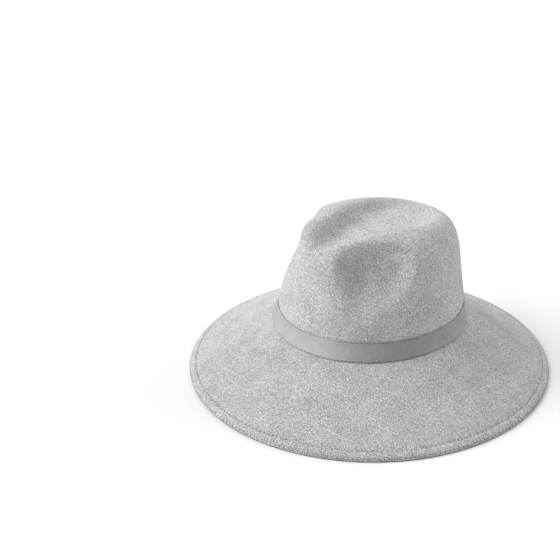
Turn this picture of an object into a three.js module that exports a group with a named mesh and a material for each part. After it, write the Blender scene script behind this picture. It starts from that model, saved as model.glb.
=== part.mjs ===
// A wide-brim felt hat: a moulded crown with a teardrop dent in its top and a pinch on each side
// of the front, a cone of a brim with a turned-under hem, and a ribbon band at the crown's foot.
// Lengths are millimetres. +Z is up, the front of the hat points along -Y, and the origin is the
// middle of the brim, on the surface that the hem rests on.

import * as THREE from 'three';

// Felt, ribbon and the play between the pieces
const feltThickness = 2;
const ribbonThickness = 1;
const fitGap = 0.3;

// Head oval: the crown's foot, measured outside the felt
const headLength = 197;
const headWidth = 182.5;

// Crown as it is blocked, before its dents are pressed in. Its walls lean in from the head oval to
// the tip oval, whose middle lies behind the head's. The section is a rounded square, squarer at
// the front than at the sides.
const blockHeight = 106.3;
const tipLength = 181;
const tipWidth = 158;
const tipSetback = 11;
const frontRise = 3.6;
const sidesRise = 2.2;
const wallHollow = 4.2;
const squareness = { front: 8.3, side: 4.4, back: 5.8 };

// Brim: its outline on the table, and the height of the crown's foot above the table
const brimLength = 365;
const brimWidth = 354;
const footHeight = 54;
const brimHollow = 1;
const collarHeight = 12;

// Hem: two layers of felt, the lower one turned under
const hemWidth = 7;
const hemThickness = 4.4;
const restWidth = 1.8;

// Ribbon band
const bandWidth = 18.5;

// Teardrop dent in the top, deeper and narrower at the front. Its plan is in shares of the tip oval.
const dentDepth = 12.5;
const dentFrontExtra = 5;
const dentEdgeSharpness = 11;
const dentPlan = { setBack: 0.053, frontReach: 0.461, backReach: 0.368, halfWidth: 0.193, taper: 0.37 };

// Pinches, one on each side of the front, each a scoop that is deepest at its upper front corner
// and ramps up towards its rear and its foot. Heights are in shares of the block's height.
const pinchDepth = 20;
const pinchRamp = 3;
const pinchEdgeSharpness = 5;
const pinchTurn = THREE.MathUtils.degToRad(49);
const pinchHalfTurn = THREE.MathUtils.degToRad(22.5);
const pinchPlan = { height: 0.79, reachBelow: 0.32, reachAbove: 0.182, rearSpread: 1.18 };
const pinchShape = { flare: 0.8, sink: 0.35, rampTilt: 1.5 };

// How far the felt spreads a fold round the crown and up it, as an angle and as a climb
const softTurn = 0.055;
const softClimb = 0.028;

// Fineness of the facets, and how much closer the crown's rows stand at its crest
const columns = 64;
const crownRows = 27;
const crestCrowding = 0.35;
const brimRows = 4;

const colours = { felt: 0xb9b9bb, ribbon: 0x8f8e8f };

const mix = THREE.MathUtils.lerp;
const clamp = THREE.MathUtils.clamp;
const smooth = (share) => THREE.MathUtils.smoothstep(share, 0, 1);

// Depth of the teardrop dent at a place on the top, seen from above.
function dentAt(x, y) {
  const fromMiddle = y - dentPlan.setBack * tipLength;
  const reach = (fromMiddle < 0 ? dentPlan.frontReach : dentPlan.backReach) * tipLength;
  const along = clamp(fromMiddle / reach, -1.3, 1.3);
  const halfWidth = dentPlan.halfWidth * tipWidth * (1 + dentPlan.taper * along);
  const distance = Math.hypot(x / halfWidth, fromMiddle / reach);
  return (dentDepth - dentFrontExtra * along) * Math.exp(-(distance ** dentEdgeSharpness));
}

// Depth of one pinch at a turn away from its middle, positive towards the rear, and a height above
// the crown's foot.
function pinchAt(turn, height) {
  const above = height / blockHeight - pinchPlan.height;
  const spread = (turn < 0 ? 1 : pinchPlan.rearSpread) * (1 + pinchShape.flare * clamp(above, -0.37, 0.37));
  const across = turn / pinchHalfTurn / spread;
  const along = above / (above < 0 ? pinchPlan.reachBelow : pinchPlan.reachAbove);
  const ramp = pinchRamp * clamp(across - pinchShape.rampTilt * along, -1.5, 1.5);
  return (pinchDepth - ramp) * Math.exp(-(Math.hypot(across, along) ** pinchEdgeSharpness));
}

// A point of the crown's form with crisp folds. The angle starts at the front and turns towards
// +X, and climb goes from 0 at the foot to 1 at the middle of the top and on down the far side.
function crownForm(angle, climb) {
  if (climb > 1) return crownForm(angle + Math.PI, 2 - climb);
  const front = Math.cos(angle);
  const side = Math.sin(angle);
  const power = mix(squareness.side, front > 0 ? squareness.front : squareness.back, front ** 2);
  const turn = (climb * Math.PI) / 2;
  const corner = (Math.cos(turn) ** power + Math.sin(turn) ** power) ** (-1 / power);
  const reach = corner * Math.cos(turn);
  const rise = corner * Math.sin(turn);
  const hollow = wallHollow * 4 * rise * (1 - rise);
  const halfLength = mix(headLength / 2, tipLength / 2 - tipSetback * front, rise) - hollow;
  const halfWidth = mix(headWidth / 2, tipWidth / 2, rise) - hollow;
  const crest = frontRise * front - sidesRise * Math.cos(2 * angle);
  const height = rise * (blockHeight + crest * smooth(reach / 0.75));
  const point = new THREE.Vector3(halfWidth * side * reach, -halfLength * front * reach, height);
  point.z -= dentAt(point.x, point.y) * smooth((rise - 0.5) / 0.4);
  for (const hand of [1, -1]) {
    const away = Math.atan2(Math.sin(hand * angle - pinchTurn), Math.cos(hand * angle - pinchTurn));
    const depth = pinchAt(away, height) * smooth(reach / 0.8);
    point.x -= hand * depth * Math.sin(pinchTurn);
    point.y += depth * Math.cos(pinchTurn);
    point.z -= depth * pinchShape.sink;
  }
  point.z += footHeight + fitGap;
  return point;
}

// A point of the crown's outer skin: the form with its folds softened as felt softens them, which
// is an average over the places round about. The foot stays crisp.
function crownSkin(angle, climb) {
  const spread = smooth(climb / 0.15);
  const skin = new THREE.Vector3();
  for (const aside of [-1, 0, 1]) {
    for (const above of [-1, 0, 1]) {
      const place = crownForm(angle + aside * spread * softTurn, climb + above * spread * softClimb);
      skin.addScaledVector(place, ((2 - Math.abs(aside)) * (2 - Math.abs(above))) / 16);
    }
  }
  return skin;
}

// The same point moved outwards, or inwards if outward is negative. At the foot it moves level,
// so that the foot stays flat.
function crownLayer(angle, climb, outward) {
  const step = 0.002;
  const place = clamp(climb, step, 1 - 2 * step);
  const around = crownSkin(angle + step, place).sub(crownSkin(angle - step, place));
  const upwards = crownSkin(angle, place + step).sub(crownSkin(angle, place - step));
  const normal = around.cross(upwards).normalize();
  normal.z *= smooth(climb / 0.12);
  return crownSkin(angle, climb).addScaledVector(normal.normalize(), outward);
}

// How far up the crown a low height above its foot lies, as a climb.
function climbAt(height) {
  return Math.atan(height / blockHeight) / (Math.PI / 2);
}

// A point of the brim. Share goes from 0 at the crown's foot to 1 at the edge, inset is measured
// back from there, and drop is measured down from the brim's upper side.
function brimPoint(angle, share, inset, drop) {
  const foot = crownLayer(angle, 0, 0).setZ(0);
  const edge = new THREE.Vector3((brimWidth / 2) * Math.sin(angle), (-brimLength / 2) * Math.cos(angle), 0);
  const across = share - inset / foot.distanceTo(edge);
  const point = foot.lerp(edge, across);
  point.z = mix(footHeight, hemThickness, across) - brimHollow * 4 * across * (1 - across) - drop;
  return point;
}

// A closed solid, turned on a lathe from the section that its rows give at the side of the hat and
// then moved row by row to its true place at every angle.
function turnedSolid(name, rows, colour, roughness) {
  const section = rows.map((row) => {
    const point = row(Math.PI / 2);
    return new THREE.Vector2(point.x, point.z);
  });
  const geometry = new THREE.LatheGeometry(section, columns);
  geometry.rotateX(Math.PI / 2);
  const position = geometry.getAttribute('position');
  for (let column = 0; column <= columns; column += 1) {
    const angle = ((column % columns) / columns) * 2 * Math.PI;
    rows.forEach((row, index) => {
      const point = row(angle);
      position.setXYZ(column * rows.length + index, point.x, point.y, point.z);
    });
  }
  geometry.computeVertexNormals();
  const material = new THREE.MeshStandardMaterial({ color: colour, roughness, metalness: 0 });
  const mesh = new THREE.Mesh(geometry, material);
  mesh.name = name;
  return mesh;
}

// Crown: the outer skin from foot to middle, and the same skin set in by the felt's thickness.
function crownRow(row, outward) {
  if (row === crownRows) return () => crownLayer(0, 1, outward);
  const share = row / crownRows;
  const climb = share + (crestCrowding * Math.sin(2 * Math.PI * share)) / (2 * Math.PI);
  return (angle) => crownLayer(angle, climb, outward);
}
const crownCount = crownRows + 1;
const crown = turnedSolid(
  'crown',
  [
    ...Array.from({ length: crownCount }, (_, row) => crownRow(crownRows - row, -feltThickness)),
    ...Array.from({ length: crownCount }, (_, row) => crownRow(row, 0)),
  ],
  colours.felt,
  0.95,
);

// Brim: collar inside the crown's foot, seat under the crown's wall, cone, and doubled hem.
const brimSlope = Math.atan2(footHeight - hemThickness, (brimWidth - headWidth) / 2);
const feltDrop = feltThickness / Math.cos(brimSlope);
const collarOutside = -feltThickness - fitGap;
const collarInside = collarOutside - feltThickness;

function collarRow(outward, height) {
  return (angle) => crownLayer(angle, climbAt(Math.max(height, 0)), outward).setZ(footHeight + height);
}
function coneRow(share, drop) {
  return (angle) => brimPoint(angle, share, 0, drop);
}
function hemRow(inset, drop) {
  return (angle) => brimPoint(angle, 1, inset, drop);
}
function restRow(inset) {
  return (angle) => brimPoint(angle, 1, inset, 0).setZ(0);
}
const coneShares = Array.from({ length: brimRows }, (_, row) => (0.92 * (row + 1)) / (brimRows + 0.5));

const hemUnder = 1.25 * hemWidth;
const edgeStart = restRow(0.05 * hemWidth);
const brim = turnedSolid(
  'brim',
  [
    edgeStart,
    hemRow(0, 0.72 * hemThickness),
    hemRow(0, 0.3 * hemThickness),
    hemRow(0.12 * hemWidth, 0.04 * hemThickness),
    hemRow(0.5 * hemWidth, -0.04 * hemThickness),
    hemRow(hemWidth, 0.06 * hemThickness),
    hemRow(hemUnder, 0),
    ...[...coneShares].reverse().map((share) => coneRow(share, 0)),
    coneRow(0, 0),
    collarRow(collarOutside, 0),
    collarRow(collarOutside, collarHeight),
    collarRow(collarInside, collarHeight),
    collarRow(collarInside, -feltDrop / 2),
    coneRow(0, feltDrop),
    ...coneShares.map((share) => coneRow(share, feltDrop)),
    hemRow(hemUnder, feltDrop),
    hemRow(hemUnder, 2 * feltDrop),
    hemRow(0.6 * hemWidth, 2 * feltDrop),
    restRow(0.05 * hemWidth + restWidth),
    edgeStart,
  ],
  colours.felt,
  0.95,
);

// Ribbon band: wrapped round the crown's foot, just clear of the brim.
const bandInside = fitGap;
const bandOutside = bandInside + ribbonThickness;
function bandRow(outward, share) {
  return (angle) => crownLayer(angle, climbAt(fitGap + bandWidth * share), outward);
}
const ribbonBand = turnedSolid(
  'ribbon_band',
  [
    bandRow(bandInside, 0),
    bandRow(bandOutside, 0),
    bandRow(bandOutside, 0.5),
    bandRow(bandOutside, 1),
    bandRow(bandInside, 1),
    bandRow(bandInside, 0.5),
    bandRow(bandInside, 0),
  ],
  colours.ribbon,
  0.6,
);

const hat = new THREE.Group();
hat.add(crown, brim, ribbonBand);

export default hat;
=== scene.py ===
import math

import bpy
from mathutils import Matrix, Vector


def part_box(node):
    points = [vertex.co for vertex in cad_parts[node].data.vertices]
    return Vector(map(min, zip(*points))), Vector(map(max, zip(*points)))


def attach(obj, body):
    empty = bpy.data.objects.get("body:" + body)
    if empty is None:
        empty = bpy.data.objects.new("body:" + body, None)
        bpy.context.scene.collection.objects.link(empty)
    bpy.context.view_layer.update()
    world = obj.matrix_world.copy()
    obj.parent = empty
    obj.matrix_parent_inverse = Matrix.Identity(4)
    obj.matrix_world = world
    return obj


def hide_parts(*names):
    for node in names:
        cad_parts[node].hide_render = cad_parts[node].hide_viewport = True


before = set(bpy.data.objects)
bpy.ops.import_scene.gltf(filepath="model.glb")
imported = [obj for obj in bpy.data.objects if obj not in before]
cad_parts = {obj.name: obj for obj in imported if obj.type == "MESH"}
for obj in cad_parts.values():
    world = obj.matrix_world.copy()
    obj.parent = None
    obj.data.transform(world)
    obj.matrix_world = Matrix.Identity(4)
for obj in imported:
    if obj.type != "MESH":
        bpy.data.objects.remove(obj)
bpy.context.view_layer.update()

mm = 0.001


# Crown. One piece of heathered wool felt, steamed and pulled over a block. The teardrop dent and
# the two pinches are pressed in while it is damp, and it swells a little above its tight ribbon.
crown_fineness = 2
swell_start = 73.1 * mm
swell_step = 1.3 * mm
swell_end = 116 * mm
swell_height = 0.9 * mm
pinch_facing = math.radians(49.4)
pinch_middle = 140 * mm
pinch_reach = (37 * mm, 39.5 * mm)
rim_height = 2.3 * mm
rim_inside = 10 * mm
rim_outside = 5.5 * mm
rim_rounding = 0.8 * mm
rim_starts = (-120, -85)
rim_ends = (5, 30)
rim_near = (30 * mm, 50 * mm)
ridge_fall = 1.8 * mm
ridge_aside = 25 * mm
ridge_apex = -15 * mm
ridge_curve = 5.0
ridge_width = 9 * mm
ridge_starts = (-75 * mm, -60 * mm)
ridge_ends = (-10 * mm, 40 * mm)
crest_middle = Vector((-31, -56, 152)) * mm
crest_reach = 28 * mm
crest_push = (-1.9 * mm, -2.2 * mm)
felt_melange = (0.62, 0.62, 0.631, 1)
felt_dark_hair = (0.12, 0.121, 0.128, 1)
felt_light_hair = (0.86, 0.86, 0.87, 1)
felt_mottle = ((0.55, 0.55, 0.555, 1), (1.45, 1.45, 1.45, 1))
# The lowest millimetre of the felt is painted darker: a painted contact shadow where the hem meets
# the floor.
felt_foot_shadow_height = 1.1 * mm
felt_foot_painted_shadow = (0.3, 0.3, 0.3, 1)
merge_distance = 0.01 * mm


def smooth_step(start, end, value):
    """0 before start, 1 after end, and smooth in between."""
    share = min(max((value - start) / (end - start), 0), 1)
    return share * share * (3 - 2 * share)


def pick(*objects):
    """Leaves only these objects selected, the first of them active."""
    bpy.ops.object.select_all(action="DESELECT")
    for each in objects:
        each.select_set(True)
    bpy.context.view_layer.objects.active = objects[0]


def copy_of_node(node, name):
    """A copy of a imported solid, its loose triangles merged and paired into quads."""
    piece = bpy.data.objects.new(name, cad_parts[node].data.copy())
    bpy.context.scene.collection.objects.link(piece)
    piece.data.materials.clear()
    pick(piece)
    bpy.ops.mesh.customdata_custom_splitnormals_clear()
    bpy.ops.object.mode_set(mode="EDIT")
    bpy.ops.mesh.select_all(action="SELECT")
    bpy.ops.mesh.remove_doubles(threshold=merge_distance)
    bpy.ops.mesh.dissolve_degenerate(threshold=0.1 * merge_distance)
    bpy.ops.mesh.select_all(action="SELECT")
    bpy.ops.mesh.tris_convert_to_quads(face_threshold=1, shape_threshold=1)
    bpy.ops.mesh.select_all(action="DESELECT")
    bpy.ops.object.mode_set(mode="OBJECT")
    return piece


def cut_across(piece, *heights):
    """Cuts all round the piece at these heights."""
    pick(piece)
    bpy.ops.object.mode_set(mode="EDIT")
    for height in heights:
        bpy.ops.mesh.select_all(action="SELECT")
        bpy.ops.mesh.bisect(plane_co=(0, 0, height), plane_no=(0, 0, 1))
    bpy.ops.mesh.select_all(action="DESELECT")
    bpy.ops.object.mode_set(mode="OBJECT")


def keep_crisp(piece, chosen, value=1):
    """Creases the edges whose two ends are both chosen."""
    vertices = piece.data.vertices
    crease = piece.data.attributes.get("crease_edge")
    if crease is None:
        crease = piece.data.attributes.new("crease_edge", "FLOAT", "EDGE")
    for edge in piece.data.edges:
        if all(chosen(vertices[end].co) for end in edge.vertices):
            crease.data[edge.index].value = value


def apply_modifier(piece, kind, **settings):
    """Adds one modifier with these settings and applies it."""
    pick(piece)
    modifier = piece.modifiers.new(kind.lower(), kind)
    for name, value in settings.items():
        setattr(modifier, name, value)
    bpy.ops.object.modifier_apply(modifier=modifier.name)


def weigh(piece, name, weight):
    """A vertex group whose weights are a function of place and normal."""
    group = piece.vertex_groups.new(name=name)
    for vertex in piece.data.vertices:
        share = weight(vertex.co, vertex.normal)
        if share > 0:
            group.add([vertex.index], share, "REPLACE")
    return group.name


def displace(piece, group, strength, direction="NORMAL"):
    """Moves the points of a vertex group by strength times their weights."""
    settings = {"strength": strength, "direction": direction, "mid_level": 0}
    apply_modifier(piece, "DISPLACE", vertex_group=group, **settings)


class Wire:
    """A socket of a finish's nodes. Sums on it add Math nodes, and add() makes any other."""

    def __init__(self, tree, socket=None):
        self.tree = tree
        self.socket = socket

    def add(self, kind, settings, inputs, output=0):
        node = self.tree.nodes.new("ShaderNode" + kind)
        for name, value in settings.items():
            setattr(node, name, value)
        for name, value in inputs.items():
            if isinstance(value, Wire):
                self.tree.links.new(value.socket, node.inputs[name])
            else:
                node.inputs[name].default_value = value
        return Wire(self.tree, node.outputs[output] if node.outputs else None)

    def reckon(self, operation, *values):
        return self.add("Math", {"operation": operation}, dict(enumerate(values)))

    def __add__(self, other):
        return self.reckon("ADD", self, other)

    def __sub__(self, other):
        return self.reckon("SUBTRACT", self, other)

    def __rsub__(self, other):
        return self.reckon("SUBTRACT", other, self)

    def __mul__(self, other):
        return self.reckon("MULTIPLY", self, other)

    __radd__ = __add__
    __rmul__ = __mul__

    def between(self, start, end):
        """0 where this value is at start, 1 where it is at end."""
        inputs = {"Value": self, "From Min": start, "From Max": end}
        return self.add("MapRange", {"interpolation_type": "SMOOTHSTEP"}, inputs)

    def tint(self, first, second):
        """The first colour where this value is 0, the second where it is 1."""
        return self.add("Mix", {"data_type": "RGBA"}, {0: self, 6: first, 7: second}, output=2)

    def shade(self, colour, share=1.0):
        """This colour multiplied by another one, as far as share says."""
        settings = {"data_type": "RGBA", "blend_type": "MULTIPLY"}
        return self.add("Mix", settings, {0: share, 6: self, 7: colour}, output=2)

    def along(self, axis):
        return self.add("SeparateXYZ", {}, {"Vector": self}, output=axis)

    def noise(self, scale, detail, distortion=0.0):
        inputs = {"Vector": self, "Scale": scale, "Detail": detail, "Distortion": distortion}
        return self.add("TexNoise", {}, inputs)

    def bump(self, depth, strength):
        return self.add("Bump", {}, {"Height": self, "Distance": depth, "Strength": strength})


def new_finish(name):
    """An empty material, its first wire, and the wire of its object coordinates."""
    material = bpy.data.materials.new(name)
    material.use_nodes = True
    material.node_tree.nodes.clear()
    start = Wire(material.node_tree)
    return material, start, start.add("TexCoord", {}, {}, output="Object")


def close_finish(start, colour, roughness, normal, **constants):
    """The surface shader and the output. The constants sit on the shader's own sockets."""
    inputs = {"Base Color": colour, "Roughness": roughness, "Normal": normal, **constants}
    surface = start.add("BsdfPrincipled", {}, inputs)
    start.add("OutputMaterial", {}, {"Surface": surface})


def felt_finish(name):
    """Pressed wool: grey with dark and light hairs in it, dull, with a faint nap."""
    material, start, place = new_finish(name)

    def hairs(scale, distortion, width=0.06):
        away = start.reckon("ABSOLUTE", place.noise(scale, 1.5, distortion) - 0.5)
        return 1 - away.between(0.2 * width, width)

    dark = hairs(scale=700, distortion=1.4)
    light = hairs(scale=800, distortion=1.2)
    speckle = place.noise(scale=1200, detail=1).between(0.36, 0.64)
    patch = place.noise(scale=46, detail=3).between(0.3, 0.7)
    colour = (dark * 0.75).tint(felt_melange, felt_dark_hair)
    colour = (light * 0.35).tint(colour, felt_light_hair)
    colour = colour.shade((speckle * 0.85 + patch * 0.15).tint(*felt_mottle))
    # Painted shadow: the felt is darkened below this height, along the hem's bottom edge where it
    # rests on the floor.
    foot = 1 - place.along("Z").between(0.6 * felt_foot_shadow_height, felt_foot_shadow_height)
    colour = colour.shade(felt_foot_painted_shadow, foot)
    nap = (light * 0.5 - dark * 0.5 + speckle).bump(depth=0.2 * mm, strength=0.6)
    close_finish(start, colour, 0.94, nap, **{
        "Specular IOR Level": 0.12,
        "Sheen Weight": 0.12,
        "Sheen Roughness": 0.6,
    })
    return material


crown = copy_of_node("crown", "crown_felt")
crown_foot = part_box("crown")[0].z
keep_crisp(crown, lambda place: place.z < crown_foot + merge_distance)
cut_across(crown, swell_start, swell_start + swell_step)
apply_modifier(crown, "SUBSURF", levels=crown_fineness, render_levels=crown_fineness)
block = bpy.data.objects.new("block", crown.data.copy())
bpy.context.scene.collection.objects.link(block)


def faces_inward(place, normal):
    return normal.x * place.x + normal.y * place.y < 0


def swell(place, normal):
    """How far the felt swells above the ribbon, all round its outer side."""
    if faces_inward(place, normal):
        return 0
    rise = smooth_step(swell_start, swell_start + swell_step, place.z)
    return rise * (1 - smooth_step(swell_start + swell_step, swell_end, place.z))


def pinch_rim(place, normal):
    """The lower rim of each pinch. The felt climbs slowly to it and drops quickly outside it."""
    if faces_inward(place, normal):
        return 0
    side = abs(place.x)
    along = side * math.cos(pinch_facing) + place.y * math.sin(pinch_facing)
    near = side * math.sin(pinch_facing) - place.y * math.cos(pinch_facing)
    rise = place.z - pinch_middle
    away = (math.hypot(along / pinch_reach[0], rise / pinch_reach[1]) - 1) * pinch_reach[0]
    width = rim_outside if away > 0 else rim_inside
    turn = math.degrees(math.atan2(rise, along))
    share = smooth_step(*rim_starts, turn) * (1 - smooth_step(*rim_ends, turn))
    share *= smooth_step(*rim_near, near)
    return share * math.exp(-math.hypot(away, rim_rounding) / width)


def ridge(place, normal):
    """The ridge between the dent and the right pinch, which falls gently to the dent's side."""
    if place.z < pinch_middle or place.x < 0:
        return 0
    aside = ridge_aside - ridge_curve * (place.y - ridge_apex) ** 2
    away = (place.x - aside) / ridge_width
    share = smooth_step(*ridge_starts, place.y) * (1 - smooth_step(*ridge_ends, place.y))
    return share * math.exp(-away * away)


def crest(place, normal):
    """The crest over the left pinch, where a hand has pressed the felt out a little."""
    away = (place - crest_middle).length / crest_reach
    return math.exp(-away * away)


swollen = weigh(crown, "swell", swell)
rimmed = weigh(crown, "rim", pinch_rim)
ridged = weigh(crown, "ridge", ridge)
pushed = weigh(crown, "crest", crest)
displace(crown, swollen, swell_height)
displace(crown, rimmed, rim_height)
displace(crown, ridged, -ridge_fall, "Z")
displace(crown, pushed, crest_push[0], "X")
displace(crown, pushed, crest_push[1], "Y")
bpy.ops.object.shade_smooth()
felt = felt_finish("wool_felt")
crown.data.materials.append(felt)
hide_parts("crown")
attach(crown, "root")


# Brim. The same felt, pressed to a shallow cone. Its edge is turned under, pressed flat and
# caught down by a row of stitches, which draws a furrow and leaves a rounded roll outside it.
brim_fineness = 2
half_brim = (177 * mm, 182.5 * mm)
brim_joint_gap = 0.3 * mm
hem_rows = 3
hem_rows_between = (3 * mm, 7.4 * mm)
hem_row_width = 1.2 * mm
upward = 0.3
furrow_inset = 6.6 * mm
furrow_width = 1.0 * mm
furrow_depth = 0.45 * mm
stitch_count = 240


def inset_from_edge(place):
    """How far a point lies inside the brim's outline, seen from above."""
    reach = math.hypot(place.x / half_brim[0], place.y / half_brim[1])
    return (1 / max(reach, 0.01) - 1) * math.hypot(place.x, place.y)


def pucker(place):
    """1 at each stitch and 0 half way to the next one."""
    turn = math.atan2(place.x / half_brim[0], -place.y / half_brim[1])
    return 0.5 + 0.5 * math.cos(stitch_count * turn)


brim = copy_of_node("brim", "brim_felt")
brim_joint = crown_foot - brim_joint_gap
keep_crisp(brim, lambda place: place.z < merge_distance)
keep_crisp(brim, lambda place: abs(place.z - brim_joint) < merge_distance, 0.7)


def cut_hem(piece, nearest, farthest, cuts):
    """Cuts more rows round the upper side of the hem, between two insets."""
    pick(piece)
    bpy.ops.object.mode_set(mode="EDIT")
    bpy.ops.mesh.select_all(action="DESELECT")
    bpy.ops.mesh.select_mode(type="EDGE")
    bpy.ops.object.mode_set(mode="OBJECT")
    for edge in piece.data.edges:
        ends = [piece.data.vertices[end] for end in edge.vertices]
        low, high = sorted(inset_from_edge(end.co) for end in ends)
        upper = all(end.normal.z > upward for end in ends)
        edge.select = upper and low > nearest and high < farthest and high - low > hem_row_width
    bpy.ops.object.mode_set(mode="EDIT")
    bpy.ops.mesh.subdivide_edgering(number_cuts=cuts, interpolation="LINEAR")
    bpy.ops.mesh.select_mode(type="VERT")
    bpy.ops.mesh.select_all(action="DESELECT")
    bpy.ops.object.mode_set(mode="OBJECT")


cut_hem(brim, *hem_rows_between, hem_rows)
apply_modifier(brim, "SUBSURF", levels=brim_fineness, render_levels=brim_fineness)


def furrow(place, normal):
    """The furrow that the stitches draw, deepest where each one goes in."""
    if normal.z < upward:
        return 0
    away = (inset_from_edge(place) - furrow_inset) / furrow_width
    return math.exp(-away * away) * (0.65 + 0.35 * pucker(place))


furrowed = weigh(brim, "furrow", furrow)
displace(brim, furrowed, -furrow_depth)
bpy.ops.object.shade_smooth()
brim.data.materials.append(felt)
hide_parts("brim")
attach(brim, "root")


# Hem stitches. Grey thread goes in and out through both layers of the hem: short pricks show in
# the furrow on top, and short upright ones low on the edge.
thread_dark = (0.1, 0.101, 0.105, 1)
thread_light = (0.2, 0.2, 0.206, 1)
prick_length = 1.35 * mm
prick_width = 1.2 * mm
upright_length = 2.1 * mm
upright_width = 0.65 * mm
upright_height = 3.2 * mm
look_from_height = 100 * mm
look_from_outside = 20 * mm

thread, start, place = new_finish("hem_thread")
ply = place.noise(scale=2600, detail=1)
tone = ply.between(0.35, 0.65).tint(thread_dark, thread_light)
twist = ply.bump(depth=0.08 * mm, strength=0.6)
close_finish(start, tone, 0.8, twist, **{"Specular IOR Level": 0.25})


def stitch_row(name, length, width, find, shift):
    """One short stitch, copied to every place that find gives, all shifted by a share of a step."""
    bpy.ops.object.select_all(action="DESELECT")
    bpy.ops.mesh.primitive_cylinder_add(vertices=6, radius=width / 2, depth=length)
    pattern = bpy.context.active_object
    bpy.ops.object.mode_set(mode="EDIT")
    bpy.ops.mesh.select_all(action="SELECT")
    bpy.ops.mesh.bevel(offset=0.3 * width, segments=1)
    bpy.ops.object.mode_set(mode="OBJECT")
    copies = []
    for number in range(stitch_count):
        turn = 2 * math.pi * (number + shift) / stitch_count
        where, normal, along = find(turn)
        across = along.cross(normal).normalized()
        copy = bpy.data.objects.new(name, pattern.data.copy())
        bpy.context.scene.collection.objects.link(copy)
        along = normal.cross(across).normalized()
        axes = Matrix((across, normal, along)).transposed().to_4x4()
        copy.matrix_world = Matrix.Translation(where) @ axes
        copies.append(copy)
    bpy.data.objects.remove(pattern)
    pick(*copies)
    bpy.ops.object.join()
    piece = bpy.context.active_object
    bpy.ops.object.transform_apply(location=True, rotation=True, scale=True)
    bpy.ops.object.shade_smooth_by_angle(angle=math.radians(50))
    piece.data.materials.append(thread)
    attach(piece, "root")


def outline(turn, inset):
    """A point inside the brim's outline and the direction of the outline there."""
    edge = Vector((half_brim[0] * math.sin(turn), -half_brim[1] * math.cos(turn), 0))
    along = Vector((half_brim[0] * math.cos(turn), half_brim[1] * math.sin(turn), 0))
    return edge - edge.normalized() * inset, along.normalized()


def on_top(turn):
    """A place in the furrow, looked for from above."""
    point, along = outline(turn, furrow_inset)
    point.z = look_from_height
    _, where, normal, _ = brim.ray_cast(point, Vector((0, 0, -1)))
    return where, normal, along


def on_edge(turn):
    """A place low on the edge, looked for from outside the brim."""
    point, along = outline(turn, -look_from_outside)
    point.z = upright_height
    _, where, normal, _ = brim.ray_cast(point, along.cross(Vector((0, 0, -1))))
    return where, normal, Vector((0, 0, 1))


bpy.context.view_layer.update()
stitch_row("hem_stitches_top", prick_length, prick_width, on_top, shift=0)
stitch_row("hem_stitches_edge", upright_length, upright_width, on_edge, shift=0.5)


# Ribbon band. Grosgrain ribbon of 18.5 mm, ribbed across its width, drawn tight round the foot of
# the crown. Its two woven edges are a little thicker than the ribs between them.
band_width = 18.5 * mm
band_bottom = 54.6 * mm
ribbon_flat = (band_width, 0.596)
rib_pitch = 1.1 * mm
rib_relief = 0.22 * mm
ribbon_thickness = 0.7 * mm
ribbon_clearance = 0.3 * mm
selvedge = 1.3 * mm
columns_per_rib = 4
ribbon_dark = (0.3, 0.297, 0.298, 1)
ribbon_light = (0.56, 0.556, 0.557, 1)
# Colour for the painted shade between the ribs and the painted shadow lines along both edges.
ribbon_painted_shade = (0.7, 0.7, 0.7, 1)
# Lift for the painted satin highlight at the front of the ribbon.
ribbon_painted_highlight = (1.2, 1.2, 1.2, 1)
white = (1, 1, 1, 1)

rib_count = round(ribbon_flat[1] / rib_pitch)
bpy.ops.object.select_all(action="DESELECT")
bpy.ops.mesh.primitive_cylinder_add(
    vertices=rib_count * columns_per_rib,
    radius=1,
    depth=band_width,
    end_fill_type="NOTHING",
)
ribbon = bpy.context.active_object
ribbon.name = "ribbon_grosgrain"
half_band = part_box("ribbon_band")[1]
bpy.ops.object.mode_set(mode="EDIT")
bpy.ops.mesh.select_all(action="SELECT")
bpy.ops.transform.resize(value=(half_band.x + mm, half_band.y + mm, 1))
bpy.ops.transform.translate(value=(0, 0, band_bottom + band_width / 2))
bpy.ops.object.mode_set(mode="OBJECT")
band_top = band_bottom + band_width
row_height = (band_width - 2 * selvedge) / 4
inner_rows = [band_bottom + selvedge + step * row_height for step in range(5)]
cut_across(ribbon, *inner_rows, band_bottom + selvedge / 2, band_top - selvedge / 2)
apply_modifier(
    ribbon,
    "SHRINKWRAP",
    target=block,
    wrap_method="NEAREST_SURFACEPOINT",
    wrap_mode="OUTSIDE_SURFACE",
    offset=ribbon_clearance,
)
bpy.data.objects.remove(block)


def rib(place, normal):
    """How far the weave stands out: ribs in the middle, an even thicker thread at both edges."""
    turn = math.atan2(place.x / half_band.x, -place.y / half_band.y)
    ribs = 0.5 + 0.5 * math.cos(rib_count * turn)
    edge = min(place.z - band_bottom, band_top - place.z)
    return ribs if edge > 0.9 * selvedge else 0.55 + 0.45 * ribs


ribbed = weigh(ribbon, "ribs", rib)
displace(ribbon, ribbed, rib_relief)
apply_modifier(ribbon, "SOLIDIFY", thickness=ribbon_thickness, offset=1)
bpy.ops.object.shade_smooth_by_angle(angle=math.radians(60))

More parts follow.
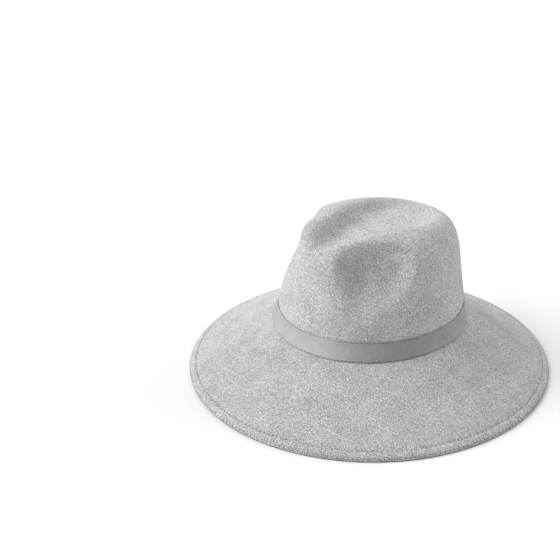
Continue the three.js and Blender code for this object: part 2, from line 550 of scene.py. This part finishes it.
grosgrain, start, place = new_finish("grosgrain")
ahead = 0 - place.along("Y")
yarn = place.noise(scale=1500, detail=2)
patch = place.noise(scale=30, detail=2)
tone = yarn.between(0.3, 0.7) * 0.7 + patch.between(0.3, 0.7) * 0.3
# The grooves between the ribs and a thin strip along both edges are painted darker: painted shade
# in the grooves, and painted shadow lines where the ribbon meets the crown above and the brim
# below.
turn = start.reckon("ARCTAN2", place.along("X") * (1 / half_band.x), ahead * (1 / half_band.y))
dip = start.reckon("COSINE", turn * rib_count) * -0.5 + 0.5
from_middle = start.reckon("ABSOLUTE", place.along("Z") - (band_bottom + band_width / 2))
edge = from_middle.between(band_width / 2 - 0.9 * mm, band_width / 2 - 0.2 * mm)
painted_weave_shade = start.reckon("MAXIMUM", dip * dip * 0.5, edge)
colour = tone.tint(ribbon_dark, ribbon_light)
# Painted highlight: the ribbon is made paler towards the hat's front, standing in for its satin
# sheen.
colour = colour.shade(ahead.between(60 * mm, 97 * mm).tint(white, ribbon_painted_highlight))
colour = colour.shade(ribbon_painted_shade, painted_weave_shade)
weave = yarn.bump(depth=0.08 * mm, strength=0.6)
close_finish(start, colour, 0.5, weave, **{
    "Metallic": 0.25,
    "Anisotropic": 0.8,
    "Anisotropic Rotation": 0.25,
    "Specular IOR Level": 0.3,
})
ribbon.data.materials.append(grosgrain)
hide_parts("ribbon_band")
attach(ribbon, "root")


# Floor. A plain white sweep of studio paper, on which the hat rests by its hem.
paper_size = 9
paper_dark = (0.94, 0.94, 0.935, 1)
paper_light = (0.96, 0.96, 0.955, 1)

bpy.ops.object.select_all(action="DESELECT")
bpy.ops.mesh.primitive_plane_add(size=paper_size)
floor = bpy.context.active_object
floor.name = "studio_floor"
paper, start, place = new_finish("studio_paper")
grain = place.noise(scale=300, detail=2)
colour = grain.tint(paper_dark, paper_light)
tooth = grain.bump(depth=0.02 * mm, strength=0.1)
close_finish(start, colour, 0.9, tooth, **{"Specular IOR Level": 0.1})
floor.data.materials.append(paper)


# Light. Plain soft studio light in a white room: two wide lamps on the hat's left, one on its
# right, and a low one behind it. They are far off and wide, so that every shadow has a soft edge.
view_azimuth = math.radians(49.4)
view_elevation = math.radians(27.12)
view_right = Vector((math.cos(view_azimuth), math.sin(view_azimuth), 0))
view_back = Vector((math.sin(view_azimuth), -math.cos(view_azimuth), 0))
room_seen = 1
room_light = 0.07


def soft_light(name, azimuth, elevation, brightness, width):
    """A far wide light. Azimuth 0 is the camera's side of the hat and 90 is its right side."""
    turn = math.radians(azimuth)
    rise = math.radians(elevation)
    level = view_right * math.sin(turn) + view_back * math.cos(turn)
    towards = level * math.cos(rise) + Vector((0, 0, math.sin(rise)))
    lamp = bpy.data.lights.new(name, "SUN")
    lamp.angle = math.radians(width)
    lamp.energy = brightness
    holder = bpy.data.objects.new(name, lamp)
    bpy.context.scene.collection.objects.link(holder)
    holder.rotation_euler = towards.to_track_quat("Z", "Y").to_euler()


soft_light("window_front", azimuth=-60, elevation=33, brightness=1.22, width=40)
soft_light("window_side", azimuth=-100, elevation=42, brightness=2.08, width=45)
soft_light("window_right", azimuth=108, elevation=38, brightness=1.66, width=50)
soft_light("window_back", azimuth=180, elevation=20, brightness=0.85, width=30)

room = bpy.data.worlds.new("white_room")
bpy.context.scene.world = room
room.use_nodes = True
walls = room.node_tree.nodes["Background"]
walls.inputs["Color"].default_value = white
seen = Wire(room.node_tree).add("LightPath", {}, {}, output="Is Camera Ray")
strength = seen * (room_seen - room_light) + room_light
room.node_tree.links.new(strength.socket, walls.inputs["Strength"])
bpy.context.scene.view_settings.view_transform = "Standard"
bpy.context.scene.view_settings.look = "None"


# Camera. A little above the hat and to the right of its front, as the photograph was taken.
view_distance = 1.415
view_aside = -0.08955
view_above = 0.08225
eye = bpy.data.cameras.new("camera")
eye.lens = 90
eye.sensor_width = 36
camera = bpy.data.objects.new("camera", eye)
bpy.context.scene.collection.objects.link(camera)
back = view_back * math.cos(view_elevation) + Vector((0, 0, math.sin(view_elevation)))
up = back.cross(view_right)
camera.matrix_world = Matrix.Translation(
    back * view_distance + view_right * view_aside + up * view_above
) @ Matrix((view_right, up, back)).transposed().to_4x4()
bpy.context.scene.camera = camera
